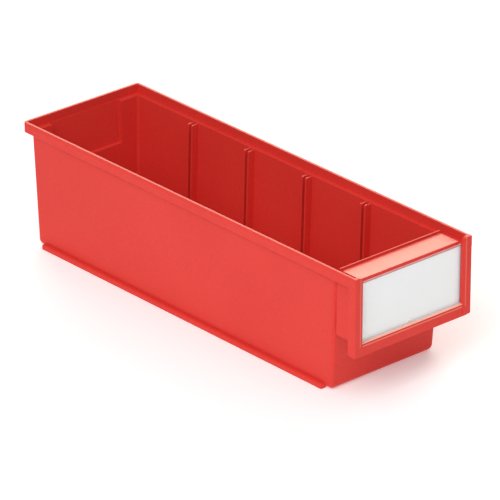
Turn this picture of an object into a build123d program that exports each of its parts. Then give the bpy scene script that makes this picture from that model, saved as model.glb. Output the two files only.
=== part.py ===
"""Stackable storage bin for shelves: one moulded tub, a paper label card and its clear cover.

+X is to the right, +Y to the rear and +Z up. The label holder faces -Y. The origin is the
centre of the footprint, on the surface that the bin stands on. All sizes are in millimetres.
"""

import os

from build123d import *

os.makedirs("parts", exist_ok=True)

# Overall size
WIDTH = 92.0
LENGTH = 300.0
HEIGHT = 82.0
REAR = LENGTH / 2
FRONT = -LENGTH / 2

# Tub walls: the outside is given at the bottom and at the ledge, and is straight between
WALL = 1.8
FLOOR = 2.0
BOTTOM_WIDTH = 81.6
TOP_WIDTH = 86.0
BOTTOM_REAR = 143.4
TOP_REAR = 146.0
BOTTOM_FRONT = -124.6
TOP_FRONT = -130.2
BOTTOM_RADIUS = 4.0
CORNER_RADIUS = 2.5

# Stacking rim: a band around the top, with a ledge inside for the feet of the bin above
LEDGE_Z = 76.2
BAND_HEIGHT = 7.0
RIM_WALL = 1.8
RIM_CORNER_RADIUS = 2.0
LEDGE_THICKNESS = 1.4
EDGE_ROUND = 0.25
BAND_EDGE_ROUND = 0.8        # lower edge of the band

# Pocket pressed into the rear wall
POCKET_WIDTH = 55.0
POCKET_BOTTOM_Z = 48.4
POCKET_DEPTH = 3.6           # at the ledge
POCKET_BOTTOM_DEPTH = 2.4    # at the pocket's lower edge
POCKET_RADIUS = 0.4

# Slots for cross dividers, in pairs along the two long walls
SLOT_COUNT = 4
FIRST_SLOT_Y = 89.5
SLOT_PITCH = 52.0
SLOT_GAP = 2.1
RIB_THICKNESS = 1.4
RIB_DEPTH = 4.6
RIB_TOP_Z = 75.8
RIB_TOP_RADIUS = 1.0

# Foot rails under the long walls
RAIL_OUTER_X = 43.8
RAIL_WIDTH = 4.6
RAIL_HEIGHT = 3.0
RAIL_FRONT = -119.0
RAIL_REAR = 137.0

# Handle plate between the front wall and the label holder
PLATE_Z = 79.0
PLATE_HALF_WIDTH = 38.8
RIDGE_Z = 80.3
RIDGE_HALF_WIDTH = 39.6
RIDGE_THICKNESS = 1.2        # thinner than the wall, clear of the bin stacked above
CHANNEL_Z = 77.0             # lower strip at each end of the plate
SHELF_THICKNESS = 1.6

# Label holder
HOLDER_BOTTOM_Z = 31.5
HOLDER_DEPTH = 6.2
LIP_WIDTH = 6.2
LIP_THICKNESS = 2.5
LIP_TOP_RADIUS = 3.0
LIP_BEVEL_WIDTH = 2.0        # shallow bevel along the inner edge of each lip
LIP_BEVEL_DEPTH = 0.5
SLOT_DEPTH = 1.4             # front to back room for the card and its cover
SLOT_HALF_WIDTH = 42.4
LABEL_LEDGE_Z = 39.2
BACK_THICKNESS = 1.6
SILL_SETBACK = 0.4           # the sill stands this far behind the two lips
SILL_STEP_Z = 37.6           # step along the front of the sill, level with the lip bevels
SILL_STEP_DEPTH = 0.3
THUMB_NOTCH_RADIUS = 2.7

# Side webs between the front wall and the label holder
WEB_OUTER_X = 41.5
WEB_BOTTOM_Z = 38.4

# Label card and clear cover
CARD_THICKNESS = 0.3
CARD_WIDTH = 80.6
CARD_HEIGHT = 36.6
COVER_THICKNESS = 0.45
COVER_WIDTH = 82.2
COVER_HEIGHT = 38.1
CARD_CORNER_RADIUS = 3.0
SLOT_PLAY = 0.22             # gap between back, card, cover and lip
STOP_GAP = 0.05

# Derived places
BAND_Z = HEIGHT - BAND_HEIGHT
RIM_INNER_X = WIDTH / 2 - RIM_WALL
RIM_INNER_REAR = REAR - RIM_WALL
LIP_BACK = FRONT + LIP_THICKNESS
BACK_FRONT_Y = LIP_BACK + SLOT_DEPTH
BACK_REAR_Y = BACK_FRONT_Y + BACK_THICKNESS
LIP_INNER_X = WIDTH / 2 - LIP_WIDTH


def at_height(bottom, top, z):
    """Value at height z of a size that is straight from the floor to the ledge."""
    return bottom + (top - bottom) * z / LEDGE_Z


def half_width(z):
    """Outside half width of the tub at height z."""
    return at_height(BOTTOM_WIDTH, TOP_WIDTH, z) / 2


def front_y(z):
    """Outside face of the front wall at height z."""
    return at_height(BOTTOM_FRONT, TOP_FRONT, z)


def rear_y(z):
    """Outside face of the rear wall at height z."""
    return at_height(BOTTOM_REAR, TOP_REAR, z)


def tub_block(inset, bottom_z, top_z):
    """Drafted block with rounded upright corners and bottom edges, inset from the tub's outside."""
    with BuildPart() as block:
        with BuildSketch(Plane.XZ.offset(-REAR)):
            with BuildLine():
                Polyline(
                    (inset - half_width(bottom_z), bottom_z),
                    (half_width(bottom_z) - inset, bottom_z),
                    (half_width(top_z) - inset, top_z),
                    (inset - half_width(top_z), top_z),
                    close=True,
                )
            make_face()
        extrude(amount=LENGTH)
        with BuildSketch(Plane.YZ.offset(-WIDTH / 2)):
            with BuildLine():
                Polyline(
                    (front_y(bottom_z) + inset, bottom_z),
                    (rear_y(bottom_z) - inset, bottom_z),
                    (rear_y(top_z) - inset, top_z),
                    (front_y(top_z) + inset, top_z),
                    close=True,
                )
            make_face()
        extrude(amount=WIDTH, mode=Mode.INTERSECT)
        fillet(block.edges().group_by(Axis.Z)[0], radius=BOTTOM_RADIUS - inset)
        uprights = block.edges().filter_by(lambda e: e.length > (top_z - bottom_z) / 2)
        uprights = uprights.filter_by(lambda e: abs(e.tangent_at(0.5).Z) > 0.9)
        fillet(uprights, radius=CORNER_RADIUS - inset / 2)
    return block.part


def span(x0, x1, y0, y1, z0, z1, mode=Mode.ADD):
    """Box between two corners, added to or cut from the part that is open."""
    with Locations(((x0 + x1) / 2, (y0 + y1) / 2, (z0 + z1) / 2)):
        return Box(x1 - x0, y1 - y0, z1 - z0, mode=mode)


# Stacking rim: a U in plan, open at the label holder
with BuildPart() as rim:
    with BuildSketch(Plane.XY.offset(BAND_Z)):
        with BuildSketch(mode=Mode.PRIVATE) as inside:
            with Locations((0, -RIM_WALL)):
                Rectangle(2 * RIM_INNER_X, LENGTH)
            fillet(inside.vertices().group_by(Axis.Y)[-1], radius=RIM_CORNER_RADIUS - 0.8)
        with BuildSketch(mode=Mode.PRIVATE) as outside:
            Rectangle(WIDTH, LENGTH)
            fillet(outside.vertices().group_by(Axis.Y)[-1], radius=RIM_CORNER_RADIUS)
        add(outside.sketch)
        add(inside.sketch, mode=Mode.SUBTRACT)
    extrude(amount=BAND_HEIGHT)
    top_face = rim.faces().sort_by(Axis.Z)[-1]
    fillet(top_face.edges().filter_by(lambda e: e.center().Y > FRONT + 1), radius=EDGE_ROUND)
    lower_face = rim.faces().sort_by(Axis.Z)[0]
    outer_edges = lower_face.edges().filter_by(
        lambda e: abs(e.center().X) > RIM_INNER_X + 0.5 or e.center().Y > RIM_INNER_REAR + 0.5
    )
    fillet(outer_edges, radius=BAND_EDGE_ROUND)

# Rear bulge and its pocket, both with a rear face that leans outwards
POCKET_TOP_Y = rear_y(LEDGE_Z) - WALL + POCKET_DEPTH
POCKET_BOTTOM_Y = rear_y(POCKET_BOTTOM_Z) - WALL + POCKET_BOTTOM_DEPTH


def leaning_block(half, start_y, grow, top_z):
    """Block across the rear wall whose rear, side and lower faces stand out from the pocket."""
    with BuildPart() as block:
        with BuildSketch(Plane.YZ.offset(-half)):
            with BuildLine():
                Polyline(
                    (start_y, POCKET_BOTTOM_Z - grow),
                    (POCKET_BOTTOM_Y + grow, POCKET_BOTTOM_Z - grow),
                    (POCKET_TOP_Y + grow, top_z),
                    (start_y, top_z),
                    close=True,
                )
            make_face()
        extrude(amount=2 * half)
        rear_face = block.faces().sort_by(Axis.Y)[-1]
        fillet(
            rear_face.edges().filter_by(lambda e: e.center().Z < top_z - 1),
            radius=POCKET_RADIUS + grow / 2,
        )
    return block.part


bulge = leaning_block(POCKET_WIDTH / 2 + WALL, TOP_REAR - 4, WALL, LEDGE_Z)
pocket = leaning_block(POCKET_WIDTH / 2, TOP_REAR - 6, 0, LEDGE_Z + 1)

# Right-hand post of the label holder: lip, slot side and outer wall
with BuildPart() as post:
    with BuildSketch(Plane.XZ.offset(-LIP_BACK)) as lip:
        with Locations(((LIP_INNER_X + WIDTH / 2) / 2, (HOLDER_BOTTOM_Z + HEIGHT) / 2)):
            Rectangle(LIP_WIDTH, HEIGHT - HOLDER_BOTTOM_Z)
        inner_top = lip.vertices().group_by(Axis.Y)[-1].sort_by(Axis.X)[0]
        fillet(inner_top, radius=LIP_TOP_RADIUS)
    extrude(amount=LIP_THICKNESS)
    fillet(
        post.faces().sort_by(Axis.Y)[0].edges().filter_by(lambda e: e.center().Z > HOLDER_BOTTOM_Z),
        radius=EDGE_ROUND,
    )
    with BuildSketch(Plane.XY.offset(SILL_STEP_Z)):
        with BuildLine():
            Polyline(
                (LIP_INNER_X - 1, FRONT - 1),
                (LIP_INNER_X + LIP_BEVEL_WIDTH, FRONT - 1),
                (LIP_INNER_X + LIP_BEVEL_WIDTH, FRONT),
                (LIP_INNER_X, FRONT + LIP_BEVEL_DEPTH),
                (LIP_INNER_X - 1, FRONT + LIP_BEVEL_DEPTH),
                close=True,
            )
        make_face()
    extrude(amount=HEIGHT - SILL_STEP_Z, mode=Mode.SUBTRACT)
    span(
        SLOT_HALF_WIDTH, WIDTH / 2,
        LIP_BACK, FRONT + HOLDER_DEPTH,
        HOLDER_BOTTOM_Z, CHANNEL_Z,
    )
    fillet(post.edges().filter_by(Axis.Y).filter_by(
        lambda e: e.center().Z < HOLDER_BOTTOM_Z + 0.1 and e.center().X > WIDTH / 2 - 0.1
    ), radius=1.2)
    fillet(post.edges().filter_by(Axis.Z).filter_by(
        lambda e: e.center().Y > FRONT + HOLDER_DEPTH - 0.1 and e.center().X > WIDTH / 2 - 0.1
    ), radius=EDGE_ROUND)

# Handle plate and the back panel under its front edge, as one folded profile
with BuildPart() as plate:
    with BuildSketch(Plane.YZ.offset(-PLATE_HALF_WIDTH)) as fold:
        with BuildLine():
            Polyline(
                (BACK_FRONT_Y, CHANNEL_Z - SHELF_THICKNESS),
                (BACK_FRONT_Y, PLATE_Z),
                (TOP_FRONT + RIDGE_THICKNESS / 2, PLATE_Z),
                (TOP_FRONT + RIDGE_THICKNESS / 2, PLATE_Z - SHELF_THICKNESS),
                (BACK_REAR_Y, PLATE_Z - SHELF_THICKNESS),
                (BACK_REAR_Y, CHANNEL_Z - SHELF_THICKNESS),
                close=True,
            )
        make_face()
        front_corner = fold.vertices().group_by(Axis.Y)[-1].sort_by(Axis.X)[0]
        fillet(front_corner, radius=EDGE_ROUND)
    extrude(amount=2 * PLATE_HALF_WIDTH)

# Ridge on top of the front wall
with BuildPart() as ridge:
    span(
        -RIDGE_HALF_WIDTH, RIDGE_HALF_WIDTH,
        TOP_FRONT, TOP_FRONT + RIDGE_THICKNESS,
        LEDGE_Z - 1, RIDGE_Z,
    )
    fillet(ridge.faces().sort_by(Axis.Z)[-1].edges(), radius=RIDGE_THICKNESS / 3)

# One foot rail, along Y, with rounded upper edges and ends
with BuildPart() as foot_rail:
    with BuildSketch(Plane.XY) as rail_plan:
        with Locations((0, (RAIL_FRONT + RAIL_REAR) / 2)):
            Rectangle(RAIL_WIDTH, RAIL_REAR - RAIL_FRONT)
        fillet(rail_plan.vertices(), radius=1.2)
    extrude(amount=RAIL_HEIGHT)
    fillet(foot_rail.edges().group_by(Axis.Z)[-1], radius=1.0)

# The solid that the walls and floor are cut from, the room inside, and a limit for the ribs
outside_block = tub_block(0, 0, LEDGE_Z)
inside_block = tub_block(WALL, FLOOR, HEIGHT)
rib_limit = tub_block(WALL / 2, FLOOR / 2, LEDGE_Z)

# Divider ribs: two at each slot, on both long walls, running down into the walls and floor
with BuildPart() as ribs:
    for slot in range(SLOT_COUNT):
        for offset in (-1, 1):
            rib_y = FIRST_SLOT_Y - slot * SLOT_PITCH + offset * (SLOT_GAP + RIB_THICKNESS) / 2
            with BuildSketch(Plane.XZ.offset(-rib_y - RIB_THICKNESS / 2)) as rib:
                with BuildLine():
                    Polyline(
                        (half_width(0) - WALL - RIB_DEPTH, 0),
                        (half_width(RIB_TOP_Z) - WALL - RIB_DEPTH, RIB_TOP_Z),
                        (WIDTH / 2, RIB_TOP_Z),
                        (WIDTH / 2, 0),
                        close=True,
                    )
                make_face()
                fillet(rib.vertices().group_by(Axis.Y)[-1].sort_by(Axis.X)[0], radius=RIB_TOP_RADIUS)
                mirror(about=Plane.YZ)
            extrude(amount=RIB_THICKNESS)
    add(rib_limit, mode=Mode.INTERSECT)

# The tub, moulded in one piece with the rim, handle plate and label holder
with BuildPart() as bin_body:
    add(outside_block)
    add(rim.part)
    span(
        -RIM_INNER_X - RIM_WALL / 2, RIM_INNER_X + RIM_WALL / 2,
        TOP_FRONT, RIM_INNER_REAR + RIM_WALL / 2,
        LEDGE_Z - LEDGE_THICKNESS, LEDGE_Z,
    )
    add(bulge)
    add(inside_block, mode=Mode.SUBTRACT)
    span(
        -RIM_INNER_X, RIM_INNER_X,
        TOP_FRONT + WALL, RIM_INNER_REAR,
        LEDGE_Z, HEIGHT,
        mode=Mode.SUBTRACT,
    )
    add(pocket, mode=Mode.SUBTRACT)

    # Handle plate in front of the front wall, with the ridge along its rear edge
    add(plate.part)
    add(ridge.part)
    for side in (-1, 1):
        step_x = sorted((side * (PLATE_HALF_WIDTH - SHELF_THICKNESS), side * PLATE_HALF_WIDTH))
        strip_x = sorted((side * (PLATE_HALF_WIDTH - SHELF_THICKNESS), side * RIM_INNER_X))
        span(*step_x, BACK_FRONT_Y, TOP_FRONT + WALL, CHANNEL_Z - SHELF_THICKNESS, CHANNEL_Z + 1)
        span(*strip_x, BACK_FRONT_Y, TOP_FRONT + WALL, CHANNEL_Z - SHELF_THICKNESS, CHANNEL_Z)

    # Label holder: back panel, sill and two posts, joined to the front wall by side webs
    span(
        -SLOT_HALF_WIDTH - 1, SLOT_HALF_WIDTH + 1,
        BACK_FRONT_Y, BACK_REAR_Y,
        HOLDER_BOTTOM_Z, CHANNEL_Z,
    )
    with BuildSketch(Plane.YZ.offset(-SLOT_HALF_WIDTH - 1)):
        with BuildLine():
            Polyline(
                (BACK_REAR_Y, HOLDER_BOTTOM_Z),
                (FRONT + SILL_SETBACK, HOLDER_BOTTOM_Z),
                (FRONT + SILL_SETBACK, SILL_STEP_Z),
                (FRONT + SILL_SETBACK + SILL_STEP_DEPTH, SILL_STEP_Z),
                (FRONT + SILL_SETBACK + 2 * SILL_STEP_DEPTH, LABEL_LEDGE_Z),
                (BACK_REAR_Y, LABEL_LEDGE_Z),
                close=True,
            )
        make_face()
    extrude(amount=2 * (SLOT_HALF_WIDTH + 1))
    for side in (-1, 1):
        web_x = sorted((side * (WEB_OUTER_X - WALL), side * WEB_OUTER_X))
        span(*web_x, BACK_REAR_Y - 1, TOP_FRONT + 1, WEB_BOTTOM_Z, CHANNEL_Z - 0.5)
    add(post.part)
    mirror(post.part, about=Plane.YZ)

    # Foot rails and divider ribs
    add(ribs.part)
    for side in (-1, 1):
        with Locations((side * (RAIL_OUTER_X - RAIL_WIDTH / 2), 0, 0)):
            add(foot_rail.part)

bin_body.part.label = "bin_body"
export_step(bin_body.part, "parts/bin_body.step")

# Paper label card, free in the slot and standing on its ledge
CARD_REAR_Y = BACK_FRONT_Y - SLOT_PLAY

with BuildPart() as label_card:
    with BuildSketch(Plane.XZ.offset(-CARD_REAR_Y)) as card_outline:
        with Locations((0, LABEL_LEDGE_Z + STOP_GAP + CARD_HEIGHT / 2)):
            Rectangle(CARD_WIDTH, CARD_HEIGHT)
        fillet(card_outline.vertices().group_by(Axis.Y)[0], radius=CARD_CORNER_RADIUS)
    extrude(amount=CARD_THICKNESS)

label_card.part.label = "label_card"
export_step(label_card.part, "parts/label_card.step")

# Clear cover in front of the card
COVER_REAR_Y = CARD_REAR_Y - CARD_THICKNESS - SLOT_PLAY

with BuildPart() as label_cover:
    with BuildSketch(Plane.XZ.offset(-COVER_REAR_Y)) as cover_outline:
        with Locations((0, LABEL_LEDGE_Z + STOP_GAP + COVER_HEIGHT / 2)):
            Rectangle(COVER_WIDTH, COVER_HEIGHT)
        fillet(cover_outline.vertices().group_by(Axis.Y)[0], radius=CARD_CORNER_RADIUS)
        with Locations((0, LABEL_LEDGE_Z)):
            Circle(THUMB_NOTCH_RADIUS, mode=Mode.SUBTRACT)
    extrude(amount=COVER_THICKNESS)

label_cover.part.label = "label_cover"
export_step(label_cover.part, "parts/label_cover.step")
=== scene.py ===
"""Stackable storage bin: camera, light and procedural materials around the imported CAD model.

Every visible piece is a CAD node. This script gives each one a material and moves none of them.
"""

from math import cos, radians, sin

import bpy
from mathutils import Matrix, Vector


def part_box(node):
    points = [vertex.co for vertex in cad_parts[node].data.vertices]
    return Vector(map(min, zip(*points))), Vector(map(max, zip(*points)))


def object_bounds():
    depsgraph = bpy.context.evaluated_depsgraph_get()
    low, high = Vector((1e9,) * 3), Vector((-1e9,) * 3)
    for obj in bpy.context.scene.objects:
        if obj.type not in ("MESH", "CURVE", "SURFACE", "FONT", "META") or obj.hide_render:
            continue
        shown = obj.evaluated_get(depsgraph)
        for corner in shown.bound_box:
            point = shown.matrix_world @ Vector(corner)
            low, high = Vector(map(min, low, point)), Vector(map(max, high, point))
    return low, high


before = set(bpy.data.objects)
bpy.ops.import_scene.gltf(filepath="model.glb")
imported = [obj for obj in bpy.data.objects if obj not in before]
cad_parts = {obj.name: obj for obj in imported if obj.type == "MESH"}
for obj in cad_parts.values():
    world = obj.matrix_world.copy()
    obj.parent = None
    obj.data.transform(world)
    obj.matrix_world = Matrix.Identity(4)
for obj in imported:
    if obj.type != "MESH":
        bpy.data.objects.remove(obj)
cad_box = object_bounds()

MM = 0.001
WHITE = (1, 1, 1)

# ---------------------------------------------------------------- camera

CAMERA_AZIMUTH = radians(-41.61)
CAMERA_ELEVATION = radians(25.21)
CAMERA_ROLL = radians(0.12)
CAMERA_DISTANCE = 3048 * MM
CAMERA_AIM = Vector((0, 0, 40 * MM))
CAMERA_SLIDE = (-4.8 * MM, 5.5 * MM)      # how far right of the middle and above it the aim stands
FOCAL_PER_WIDTH = 10.162                  # focal length over sensor width
SENSOR_WIDTH = 36.0
CLIP = (0.05, 50)


def view_axes():
    """The camera's right, up and back directions."""
    turn, tilt, roll = CAMERA_AZIMUTH, CAMERA_ELEVATION, CAMERA_ROLL
    back = Vector((sin(turn) * cos(tilt), -cos(turn) * cos(tilt), sin(tilt)))
    level = Vector((cos(turn), sin(turn), 0))
    lift = back.cross(level)
    right = cos(roll) * level + sin(roll) * lift
    up = -sin(roll) * level + cos(roll) * lift
    return right, up, back


def add_camera():
    """A long lens at the front left, above the bin, set as the scene's camera."""
    right, up, back = view_axes()
    data = bpy.data.cameras.new("camera")
    data.sensor_width = SENSOR_WIDTH
    data.lens = FOCAL_PER_WIDTH * SENSOR_WIDTH
    data.clip_start, data.clip_end = CLIP
    camera = bpy.data.objects.new("camera", data)
    bpy.context.scene.collection.objects.link(camera)
    place = CAMERA_AIM - CAMERA_SLIDE[0] * right - CAMERA_SLIDE[1] * up + CAMERA_DISTANCE * back
    turn = Matrix((right, up, back)).transposed().to_4x4()
    camera.matrix_world = Matrix.Translation(place) @ turn
    bpy.context.scene.camera = camera


# ---------------------------------------------------------------- light

WORLD_STRENGTH = 0.42
LIGHT_AIM = Vector((0, 0, 40 * MM))
MIRROR_PLACE = (1.5, 1.69, 1.06)          # behind the bin, where level faces mirror the view


def add_world(strength):
    """Even white light from all round."""
    world = bpy.data.worlds.new("studio")
    world.use_nodes = True
    background = world.node_tree.nodes["Background"]
    background.inputs["Color"].default_value = (*WHITE, 1)
    background.inputs["Strength"].default_value = strength
    bpy.context.scene.world = world


def add_area(name, place, size, power, colour=WHITE, aim=LIGHT_AIM):
    """A soft rectangular light of so many watts that looks from place to aim."""
    data = bpy.data.lights.new(name, "AREA")
    data.shape = "RECTANGLE"
    data.size, data.size_y = size
    data.energy = power
    data.color = colour
    light = bpy.data.objects.new(name, data)
    bpy.context.scene.collection.objects.link(light)
    direction = Vector(aim) - Vector(place)
    light.rotation_euler = direction.to_track_quat("-Z", "Y").to_euler()
    light.location = place
    return light


def add_lights():
    """Soft light from above, the left and behind, and a warm sheen seen only in reflections."""
    add_world(WORLD_STRENGTH)
    add_area("overhead", place=(-0.4, -0.4, 1.8), size=(1.8, 1.8), power=9, aim=(0, 0, 0))
    add_area("left", place=(-1.4, -0.75, 1.4), size=(1.2, 1.2), power=17.5)
    add_area("back", place=MIRROR_PLACE, size=(2.0, 1.2), power=18, colour=(1.0, 0.90, 0.80))
    sheen = add_area(
        "sheen",
        place=MIRROR_PLACE,
        size=(2.6, 1.8),
        power=210,
        colour=(1.0, 0.85, 0.66),
    )
    sheen.visible_diffuse = False


# ---------------------------------------------------------------- material nodes


class Nodes:
    """Short ways to build one node material."""

    def __init__(self, name):
        self.material = bpy.data.materials.new(name)
        self.material.use_nodes = True
        self.tree = self.material.node_tree
        self.shader = self.tree.nodes["Principled BSDF"]

    def add(self, kind, **settings):
        """A new node with some of its own settings."""
        node = self.tree.nodes.new(kind)
        for key, value in settings.items():
            setattr(node, key, value)
        return node

    def feed(self, socket, value):
        """Link an output to the socket, or write a number or a colour into it."""
        if hasattr(value, "is_output"):
            self.tree.links.new(value, socket)
        elif isinstance(value, tuple):
            socket.default_value = (*value, 1)
        else:
            socket.default_value = value

    def set(self, name, value):
        """One input of the shader."""
        self.feed(self.shader.inputs[name], value)

    def coordinates(self, name="Object"):
        """Texture coordinates fixed to the piece, so that they follow it in every pose."""
        return self.add("ShaderNodeTexCoord").outputs[name]

    def noise(self, scale, detail, roughness=0.5):
        """Noise, mostly from 0.3 to 0.7, with scale features per metre."""
        node = self.add("ShaderNodeTexNoise")
        self.feed(node.inputs["Scale"], scale)
        self.feed(node.inputs["Detail"], detail)
        self.feed(node.inputs["Roughness"], roughness)
        self.feed(node.inputs["Vector"], self.coordinates())
        return node.outputs["Fac"]

    def span(self, value, start, end, to):
        """The first number of to where value is at start, the second from end on."""
        node = self.add("ShaderNodeMapRange")
        self.feed(node.inputs["From Min"], start)
        self.feed(node.inputs["From Max"], end)
        self.feed(node.inputs["To Min"], to[0])
        self.feed(node.inputs["To Max"], to[1])
        self.feed(node.inputs["Value"], value)
        return node.outputs["Result"]

    def parts(self, vector):
        """The X, Y and Z of a vector."""
        node = self.add("ShaderNodeSeparateXYZ")
        self.feed(node.inputs["Vector"], vector)
        return node.outputs["X"], node.outputs["Y"], node.outputs["Z"]

    def math(self, operation, *values):
        """One step of arithmetic."""
        node = self.add("ShaderNodeMath", operation=operation)
        for socket, value in zip(node.inputs, values):
            self.feed(socket, value)
        return node.outputs["Value"]

    def near(self, value, centre, reach):
        """1 around the centre, fading from 0.6 of reach away to 0 at reach."""
        away = self.math("ABSOLUTE", self.math("SUBTRACT", value, centre))
        return self.span(away, 0.6 * reach, reach, to=(1, 0))

    def mix_colour(self, factor, first, second):
        """First where factor is 0, second where it is 1."""
        node = self.add("ShaderNodeMix", data_type="RGBA")
        first_in, second_in = (socket for socket in node.inputs if socket.type == "RGBA")
        self.feed(node.inputs["Factor"], factor)
        self.feed(first_in, first)
        self.feed(second_in, second)
        return next(socket for socket in node.outputs if socket.type == "RGBA")

    def bump(self, height, strength, depth):
        """A normal that follows height, whose whole range is depth."""
        node = self.add("ShaderNodeBump")
        self.feed(node.inputs["Strength"], strength)
        self.feed(node.inputs["Distance"], depth)
        self.feed(node.inputs["Height"], height)
        return node.outputs["Normal"]


# ---------------------------------------------------------------- materials

CARD_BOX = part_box("label_card")
CARD_RIGHT = CARD_BOX[1][0]
CARD_BOTTOM = CARD_BOX[0][2]
BIN_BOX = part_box("bin_body")
HOLDER_FRONT = BIN_BOX[0][1]
RIM_TOP = BIN_BOX[1][2]

RED = (0.785, 0.055, 0.042)
RED_DEEP = (0.735, 0.046, 0.035)
RED_GRAIN = (0.60, 0.034, 0.025)
# Pale colour of the painted highlight on the label opening's sill and lip bevels
RED_PAINTED_HIGHLIGHT = (0.95, 0.52, 0.40)
RIM_ROUGHNESS = 0.64

# Painted highlight on the label opening's sill ledge, sill step and lip bevels. Its edges, outward
# from the bin's middle, below the card's lower edge and behind the holder's front
SILL_FADES_FROM = 39.6 * MM
SILL_END = 40.0 * MM
BEVEL_OUTWARD = 41.8 * MM
LEDGE_BEHIND = 2.4 * MM
STEP_BELOW = 1.65 * MM
STEP_BEHIND = 0.6 * MM
BEVEL_FADES_FROM = 1.5 * MM
BEVEL_ENDS_BELOW = 2.0 * MM
STEP_HIGHLIGHT = 0.4                # painted highlight strength, where the ledge has 1
BEVEL_HIGHLIGHT = 0.2

PAPER = (0.96, 0.97, 0.96)
PAPER_FIBRE = (0.93, 0.94, 0.93)
# Colour of the painted shade at the card's right and lower edges
PAPER_PAINTED_SHADE = (0.48, 0.68, 0.82)
SHADE_STARTS = 2.2 * MM        # the painted shade starts this far inward from the card's edge
SHADE_FULL = 0.2 * MM

CLEAR = (0.93, 0.96, 0.98)
CLEAR_SCUFFED = (0.88, 0.92, 0.95)
FACE_ALPHA = 0.12
EDGE_ALPHA = 0.85


def painted_sill_highlights(n):
    """Painted highlight on the sill ledge, sill step and lip bevels of the label opening, 0 to 1.
    """
    x, y, z = n.parts(n.coordinates())
    from_middle = n.math("ABSOLUTE", x)
    between_lips = n.span(from_middle, SILL_FADES_FROM, SILL_END, to=(1, 0))
    ledge = n.math(
        "MULTIPLY",
        n.near(z, CARD_BOTTOM, reach=0.5 * MM),
        n.near(y, HOLDER_FRONT + LEDGE_BEHIND, reach=2.6 * MM),
    )
    step = n.math(
        "MULTIPLY",
        n.near(z, CARD_BOTTOM - STEP_BELOW, reach=0.35 * MM),
        n.near(y, HOLDER_FRONT + STEP_BEHIND, reach=0.6 * MM),
    )
    bevel = n.math(
        "MULTIPLY",
        n.near(from_middle, BEVEL_OUTWARD, reach=0.45 * MM),
        n.near(y, HOLDER_FRONT, reach=0.3 * MM),
    )
    bevel_highlight = n.span(
        z,
        CARD_BOTTOM - BEVEL_ENDS_BELOW,
        CARD_BOTTOM - BEVEL_FADES_FROM,
        to=(0, BEVEL_HIGHLIGHT),
    )
    sill = n.math("MAXIMUM", ledge, n.math("MULTIPLY", step, STEP_HIGHLIGHT))
    along_sill = n.math("MULTIPLY", between_lips, sill)
    return n.math("MAXIMUM", along_sill, n.math("MULTIPLY", bevel, bevel_highlight))


def bin_plastic():
    """Moulded red plastic: fine grain, soft flow marks, a pale painted highlight along the label
    opening's sill and lip bevels, and a rim dulled by stacking.
    """
    n = Nodes("bin_plastic_moulded")
    cloud = n.noise(scale=9.0, detail=4)
    flow = n.mix_colour(n.span(cloud, 0.35, 0.65, to=(0, 1)), RED, RED_DEEP)
    speckle = n.noise(scale=680.0, detail=2)
    grained = n.mix_colour(n.span(speckle, 0.38, 0.64, to=(0, 0.24)), flow, RED_GRAIN)
    # Pale painted highlight on the label opening's sill ledge, sill step and lip bevels
    n.set("Base Color", n.mix_colour(painted_sill_highlights(n), grained, RED_PAINTED_HIGHLIGHT))
    grain = n.noise(scale=1500.0, detail=2, roughness=0.6)
    n.set("Normal", n.bump(grain, strength=0.35, depth=0.12 * MM))
    wear = n.noise(scale=60.0, detail=5, roughness=0.65)
    worn = n.span(wear, 0.3, 0.7, to=(0.40, 0.50))
    _, _, z = n.parts(n.coordinates())
    stacked_on = n.span(z, RIM_TOP - 2.6 * MM, RIM_TOP - 2.0 * MM, to=(0, RIM_ROUGHNESS))
    n.set("Roughness", n.math("MAXIMUM", worn, stacked_on))
    n.set("Specular IOR Level", 0.15)
    n.set("IOR", 1.5)
    return n.material


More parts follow.
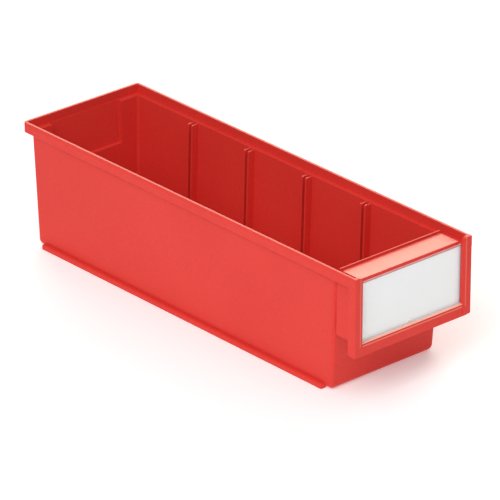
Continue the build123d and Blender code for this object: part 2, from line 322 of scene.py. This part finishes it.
def card_paper():
    """White paper card with a soft fibre and a blue-grey painted shade at its right and lower
    edges.
    """
    n = Nodes("card_paper_white")
    fibre = n.noise(scale=900.0, detail=4, roughness=0.7)
    paper = n.mix_colour(n.span(fibre, 0.3, 0.7, to=(0, 1)), PAPER, PAPER_FIBRE)
    x, _, z = n.parts(n.coordinates())
    # Blue-grey painted shade along the card's right and lower edges
    at_right = n.span(x, CARD_RIGHT - SHADE_STARTS, CARD_RIGHT - SHADE_FULL, to=(0, 0.8))
    at_bottom = n.span(z, CARD_BOTTOM + SHADE_STARTS, CARD_BOTTOM + SHADE_FULL, to=(0, 0.35))
    n.set("Base Color", n.mix_colour(n.math("MAXIMUM", at_right, at_bottom), paper, PAPER_PAINTED_SHADE))
    n.set("Roughness", n.span(fibre, 0.3, 0.7, to=(0.75, 0.9)))
    n.set("Normal", n.bump(fibre, strength=0.08, depth=0.02 * MM))
    return n.material


def cover_clear():
    """Clear plastic sheet with faint scuffs and denser cut edges."""
    n = Nodes("cover_clear_plastic")
    scuff = n.noise(scale=160.0, detail=5, roughness=0.7)
    n.set("Base Color", n.mix_colour(n.span(scuff, 0.4, 0.7, to=(0, 1)), CLEAR, CLEAR_SCUFFED))
    n.set("Roughness", n.span(scuff, 0.35, 0.7, to=(0.12, 0.25)))
    n.set("Normal", n.bump(scuff, strength=0.05, depth=0.03 * MM))
    _, frontward, _ = n.parts(n.coordinates("Normal"))
    facing = n.math("ABSOLUTE", frontward)
    n.set("Alpha", n.span(facing, 0.5, 0.8, to=(EDGE_ALPHA, FACE_ALPHA)))
    n.set("IOR", 1.49)
    return n.material


def floor_pale():
    """Nearly white floor with a little light of its own, which softens the shadows on it."""
    n = Nodes("floor_pale")
    soft = n.noise(scale=1.5, detail=2)
    n.set("Base Color", n.mix_colour(soft, (0.9, 0.9, 0.9), (0.93, 0.93, 0.93)))
    n.set("Roughness", 0.9)
    n.set("Emission Color", WHITE)
    n.set("Emission Strength", 0.24)
    return n.material


MATERIALS = {
    "bin_body": bin_plastic,
    "label_card": card_paper,
    "label_cover": cover_clear,
}


def dress_pieces():
    """Put each piece's material in its slots."""
    for node_name, make_material in MATERIALS.items():
        material = make_material()
        for material_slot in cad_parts[node_name].material_slots:
            material_slot.material = material


# ---------------------------------------------------------------- floor

FLOOR_SIZE = 14
FLOOR_GAP = 0.2 * MM          # keeps the floor and the bin's underside from flickering


def add_floor():
    """A plain pale floor that isn't part of the object."""
    lowest = cad_box[0][2]
    bpy.ops.mesh.primitive_plane_add(size=FLOOR_SIZE, location=(0, 0, lowest - FLOOR_GAP))
    floor = bpy.context.object
    floor.name = "floor"
    floor.data.materials.append(floor_pale())


# ---------------------------------------------------------------- scene

bpy.context.scene.view_settings.view_transform = "Standard"
dress_pieces()
add_camera()
add_floor()
add_lights()
